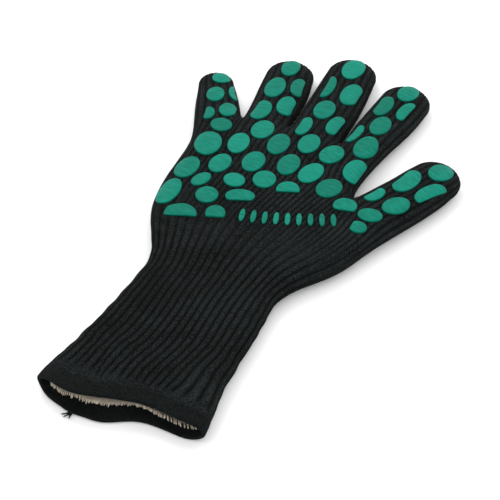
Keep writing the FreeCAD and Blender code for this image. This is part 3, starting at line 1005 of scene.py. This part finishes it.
def region_of(outline):
    """The fabric that carries a dot: the digit whose knuckle crease it reaches near, or the palm."""
    for digit in DIGITS:
        first, way = crease(JOINTS[f"{digit}_knuckle_bend"])
        reaches = ((outline - first) @ way).max() > -ROOT_REACH[digit][0]
        if reaches and near_digit(outline.mean(axis=0), digit):
            return digit
    return "palm"


STRIP_MARGIN = 2.0    # a digit's strip is wider than its tip by this on either side
STRIP_START = -16.0   # and starts this far before its crease


def near_digit(point, digit):
    """Whether a plan point lies in a digit's strip."""
    tip = np.array(TIPS[digit][0])
    first, _ = crease(JOINTS[f"{digit}_knuckle_bend"])
    way = (tip - first) / np.linalg.norm(tip - first)
    offset = point - first
    sideways = abs(offset[0] * way[1] - offset[1] * way[0])
    return sideways < TIPS[digit][1] + STRIP_MARGIN and offset @ way > STRIP_START


# --- materials ---
class Nodes:
    """Short way to write a material's node tree."""

    def __init__(self, name):
        self.material = bpy.data.materials.new(name)
        self.material.use_nodes = True
        self.tree = self.material.node_tree
        self.shader = self.tree.nodes["Principled BSDF"]

    def add(self, kind, inputs=(), **settings):
        """A new node with its settings and inputs."""
        node = self.tree.nodes.new(kind)
        for key, value in settings.items():
            setattr(node, key, value)
        for key, value in dict(inputs).items():
            self.put(node.inputs[key], value)
        return node

    def put(self, socket, value):
        """Link another node's output to a socket, or set its own value."""
        if isinstance(value, bpy.types.NodeSocket):
            self.tree.links.new(value, socket)
        else:
            socket.default_value = value

    def math(self, kind, a, b=0.0, clamp=False):
        return self.add("ShaderNodeMath", {0: a, 1: b}, operation=kind, use_clamp=clamp).outputs[0]

    def mix(self, share, a, b):
        inputs = {"Factor": share, "A": a, "B": b}
        return self.add("ShaderNodeMix", inputs, data_type="RGBA").outputs["Result"]

    def noise(self, scale, detail, vector, rough=0.5):
        inputs = {"Vector": vector, "Scale": scale, "Detail": detail, "Roughness": rough}
        return self.add("ShaderNodeTexNoise", inputs).outputs["Fac"]

    def object_place(self):
        return self.add("ShaderNodeTexCoord").outputs["Object"]

    def pair(self, uv_map):
        """The two numbers of a UV map. Those of the map "fabric" are wale and course."""
        uv = self.add("ShaderNodeUVMap", uv_map=uv_map).outputs["UV"]
        parts = self.add("ShaderNodeSeparateXYZ", {0: uv})
        return parts.outputs["X"], parts.outputs["Y"]

    def bump(self, height, distance, strength, **under):
        inputs = {"Height": height, "Distance": distance, "Strength": strength, **under}
        return self.add("ShaderNodeBump", inputs).outputs["Normal"]

    def shade(self, inputs):
        """Set the shader's inputs, and give back the material."""
        for key, value in inputs.items():
            self.put(self.shader.inputs[key], value)
        return self.material


COURSE = 1.75         # millimetres between stitches along a wale
LOOP_SLANT = 0.9
# colours are red, green, blue and alpha; depths are metres
# each knit's darkest colour is painted shade, laid between its loops and in the grooves between its ribs
CHARCOAL = {"dark": (0.004, 0.0055, 0.0057, 1), "light": (0.042, 0.053, 0.053, 1),
            "painted_shade": (0.0006, 0.0008, 0.0008, 1), "depth": 0.0009, "rough": 0.8}
HEM_CHARCOAL = {"dark": (0.0022, 0.003, 0.0031, 1), "light": (0.0165, 0.021, 0.021, 1),
                "painted_shade": (0.0005, 0.0007, 0.0007, 1), "depth": 0.0006, "rough": 0.84}
# the teal edge colour is painted shade down the dots' sides; the pale teal is each dot's own paler tone and
# also painted highlight in its streaks
TEAL, TEAL_PALE_AND_HIGHLIGHT, TEAL_EDGE_SHADE = (0.0, 0.125, 0.083, 1), (0.003, 0.2, 0.14, 1), (0.0, 0.06, 0.038, 1)
# the darkest cream is painted shade between the liner's loops; the middle one is its own random mottle
CREAM, CREAM_DARK, CREAM_LOOP_SHADE = (0.86, 0.8, 0.68, 1), (0.44, 0.33, 0.2, 1), (0.3, 0.22, 0.13, 1)
# each yarn's darker colour is painted shade in the grooves of its twist
YARN_CREAM, YARN_CREAM_SHADE = (0.85, 0.8, 0.7, 1), (0.5, 0.4, 0.27, 1)
YARN_BLACK, YARN_BLACK_SHADE = (0.008, 0.009, 0.009, 1), (0.002, 0.002, 0.002, 1)
WHITE, FLOOR_WHITE = (1, 1, 1, 1), (0.93, 0.93, 0.93, 1)


def stitch_height(n, course_length):
    """Height of plain knit: slanted loops that meet in a V along each wale."""
    wale, course = n.pair("fabric")
    across = n.math("ABSOLUTE", n.math("SUBTRACT", n.math("FRACT", wale), 0.5))
    step = n.math("ADD", n.math("DIVIDE", course, course_length), n.math("MULTIPLY", across, LOOP_SLANT * 2))
    loop = n.math("ABSOLUTE", n.math("SINE", n.math("MULTIPLY", step, math.pi)))
    edge = n.math("SINE", n.math("MULTIPLY", across, 2 * math.pi))
    rounded = n.math("POWER", n.math("MAXIMUM", edge, 0.0), 0.6)
    return n.math("MULTIPLY", n.math("ADD", n.math("MULTIPLY", loop, 0.75), 0.25), rounded)


# courses where the painted shade of the cuff's ribs begins and ends, and how far it takes to fade there
SHADE_BEGIN, SHADE_END = (12.0, 9.0), (190.0, 55.0)


def painted_rib_shade(n):
    """Mask of painted shade: 1 in the grooves between the ribs, falling to 0 on their crests. The hand's are
    finer and fainter.
    """
    wale, course = n.pair("fabric")
    ribs = n.math("FRACT", n.math("DIVIDE", n.math("ADD", wale, 0.5), RIB_WALES))
    phase = n.math("MULTIPLY", ribs, RIB_WALES)
    gap = n.math("MINIMUM", phase, n.math("SUBTRACT", RIB_WALES, phase))
    broad = n.math("SUBTRACT", 1.15, n.math("MULTIPLY", gap, 0.85), clamp=True)
    cuff = n.math("DIVIDE", n.math("SUBTRACT", SHADE_END[0], course), SHADE_END[1], clamp=True)
    begin = n.math("DIVIDE", n.math("SUBTRACT", course, SHADE_BEGIN[0]), SHADE_BEGIN[1], clamp=True)
    swing = n.math("ABSOLUTE", n.math("COSINE", n.math("MULTIPLY", wale, math.pi / HAND_RIB_WALES)))
    fine = n.math("MULTIPLY", n.math("POWER", swing, 2.5), n.math("SUBTRACT", 0.85, cuff, clamp=True))
    return n.math("ADD", n.math("MULTIPLY", n.math("MULTIPLY", broad, cuff), begin), fine, clamp=True)


def knit_material(name, dark, light, painted_shade, depth, rough, course_length=COURSE, ribbed=True):
    """Yarn knit: V stitches, with painted shade between the loops and in the grooves between the ribs, with
    melange and fuzz.
    """
    n = Nodes(name)
    height = stitch_height(n, course_length)
    place = n.object_place()
    melange = n.noise(1000.0, 3.0, place, 0.7)
    cloud = n.noise(38.0, 2.0, place)
    mixed = n.math("ADD", n.math("MULTIPLY", melange, 0.8), n.math("MULTIPLY", cloud, 0.2))
    share = n.math("MULTIPLY", n.math("SUBTRACT", mixed, 0.43), 6.5, clamp=True)
    # painted shade between the loops, where the stitches are low
    colour = n.mix(n.math("MULTIPLY", height, 1.15, clamp=True), painted_shade, n.mix(share, dark, light))
    if ribbed:
        # painted shade in the grooves between the ribs, lighter on their crests
        colour = n.mix(n.math("MULTIPLY", painted_rib_shade(n), 0.9), colour, painted_shade)
    fibre = n.bump(n.noise(2600.0, 2.0, place, 0.7), 0.00018, 0.8)
    return n.shade({"Base Color": colour, "Normal": n.bump(height, depth, 1.0, Normal=fibre),
                    "Roughness": rough, "Specular IOR Level": 0.03, "Sheen Weight": 0.02,
                    "Sheen Roughness": 0.4})


def silicone_material():
    """Teal silicone print: satin, with painted shade down its edges, each dot paler or deeper, with brushed
    streaks that are partly its own texture and partly painted highlight.
    """
    n = Nodes("teal_silicone")
    wale, course = n.pair("fabric")
    up_edge, tone = n.pair("print")
    streak = {0: n.math("MULTIPLY", wale, 0.28), 1: n.math("MULTIPLY", course, 0.6)}
    brushed = n.noise(1.0, 4.0, n.add("ShaderNodeCombineXYZ", streak).outputs[0], 0.6)
    worn = n.noise(150.0, 3.0, n.object_place())
    # the streaks are partly the print's own brushed texture and partly painted highlight
    streaks_and_highlight = n.math("MULTIPLY", n.math("SUBTRACT", brushed, 0.47), 3.0)
    share = n.math("ADD", streaks_and_highlight, n.math("MULTIPLY", tone, 0.8))
    colour = n.mix(n.math("MULTIPLY", share, 0.9, clamp=True), TEAL, TEAL_PALE_AND_HIGHLIGHT)
    # painted shade down the dots' sides, darker towards their foot
    edge = n.math("MULTIPLY", n.math("SUBTRACT", 0.97, up_edge), 1.5, clamp=True)
    rough = n.math("ADD", n.math("MULTIPLY", worn, 0.25), 0.3)
    return n.shade({"Base Color": n.mix(edge, colour, TEAL_EDGE_SHADE), "Normal": n.bump(brushed, 0.0006, 0.8),
                    "Roughness": rough, "Specular IOR Level": 0.06})


def thread_material(name, colour, dark):
    """Twisted yarn of the stitches, with painted shade in the grooves of its twist."""
    n = Nodes(name)
    inputs = {"Vector": n.object_place(), "Scale": 700.0, "Distortion": 2.0}
    twist = n.add("ShaderNodeTexWave", inputs).outputs["Fac"]
    return n.shade({"Base Color": n.mix(twist, dark, colour), "Normal": n.bump(twist, 0.00015, 0.8),
                    "Roughness": 0.85, "Specular IOR Level": 0.15})


def cotton_material():
    """Cream cotton liner: soft loops, with a warmer, browner painted shade between them."""
    n = Nodes("cream_cotton")
    height = stitch_height(n, 1.5)
    place = n.object_place()
    colour = n.mix(n.noise(420.0, 4.0, place, 0.65), CREAM_DARK, CREAM)
    fuzz = n.bump(n.noise(1500.0, 3.0, place, 0.7), 0.0004, 0.9)
    # painted shade between the loops, where the stitches are low
    return n.shade({"Base Color": n.mix(height, CREAM_LOOP_SHADE, colour),
                    "Normal": n.bump(height, 0.0004, 1.0, Normal=fuzz),
                    "Roughness": 0.95, "Sheen Weight": 0.4})


# --- studio ---
CAMERA_AIM = (9.0, 154.0, 0.0)        # plan millimetres
CAMERA_AZIMUTH, CAMERA_HEIGHT, CAMERA_AWAY = 25.5, 45.0, 1100.0
LENS = 123.8
# name, place, size, power
LIGHTS = [("key", (-0.7, 0.5, 0.9), 0.7, 4.5), ("fill", (0.9, -0.7, 1.1), 0.9, 2),
          ("rim", (0.2, 1.2, 0.6), 0.7, 2.5)]
WORLD_LIGHT = 1.25
FLOOR_HALF = 4.0


def plan_point(x, y, z):
    """A plan place in the row frame."""
    return Vector(((x + SHIFT[0]) * MM, (y + SHIFT[1]) * MM, z * MM))


def look_at(obj, target):
    """Turn a camera or light towards a place."""
    obj.rotation_euler = (target - obj.location).to_track_quat("-Z", "Y").to_euler()


def camera():
    """Camera of the main view."""
    turn, up = math.radians(CAMERA_AZIMUTH), math.radians(CAMERA_HEIGHT)
    aim = plan_point(*CAMERA_AIM)
    data = bpy.data.cameras.new("camera")
    data.lens = LENS
    data.sensor_width = 36.0
    obj = placed("camera", data)
    away = Vector((math.sin(turn) * math.cos(up), -math.cos(turn) * math.cos(up), math.sin(up)))
    obj.location = aim + away * CAMERA_AWAY * MM
    look_at(obj, aim)
    bpy.context.scene.camera = obj


def area_light(name, place, size, power):
    """Round light that points at the middle of the glove."""
    data = bpy.data.lights.new(name, "AREA")
    data.shape = "DISK"
    data.size = size
    data.energy = power
    obj = placed(name, data)
    obj.location = place
    look_at(obj, Vector((0, 0, 0)))


def studio():
    """White floor, white surround and soft light from above and behind."""
    mesh = bpy.data.meshes.new("floor")
    corners = [(x * FLOOR_HALF, y * FLOOR_HALF, 0) for x, y in ((-1, -1), (1, -1), (1, 1), (-1, 1))]
    mesh.from_pydata(corners, [], [(0, 1, 2, 3)])
    mesh.materials.append(Nodes("white_floor").shade({"Base Color": FLOOR_WHITE, "Roughness": 0.9}))
    placed("floor", mesh)
    world = bpy.data.worlds.new("studio")
    world.use_nodes = True
    background = world.node_tree.nodes["Background"]
    background.inputs["Color"].default_value = WHITE
    background.inputs["Strength"].default_value = WORLD_LIGHT
    bpy.context.scene.world = world
    bpy.context.scene.view_settings.view_transform = "Standard"
    for light in LIGHTS:
        area_light(*light)


# --- scene ---
def main():
    """Everything: camera, light, materials and the glove's pieces."""
    camera()
    studio()
    black = knit_material("charcoal_knit", **CHARCOAL)
    band = knit_material("hem_knit", **HEM_CHARCOAL, course_length=1.3, ribbed=False)
    cotton = cotton_material()
    overlock_yarn = thread_material("cotton_yarn", YARN_CREAM, YARN_CREAM_SHADE)
    black_thread = thread_material("black_thread", YARN_BLACK, YARN_BLACK_SHADE)
    teal = silicone_material()
    tube = Tube(build_plan())
    fabric_pieces(tube, black)
    liner_pieces(tube, cotton)
    loop = CuffLoop(tube)
    hem_band(loop, band)
    overlock(loop, overlock_yarn)
    hem_seam(loop, black_thread)
    yarn_tail(loop, black_thread)
    silicone(tube, teal)


main()
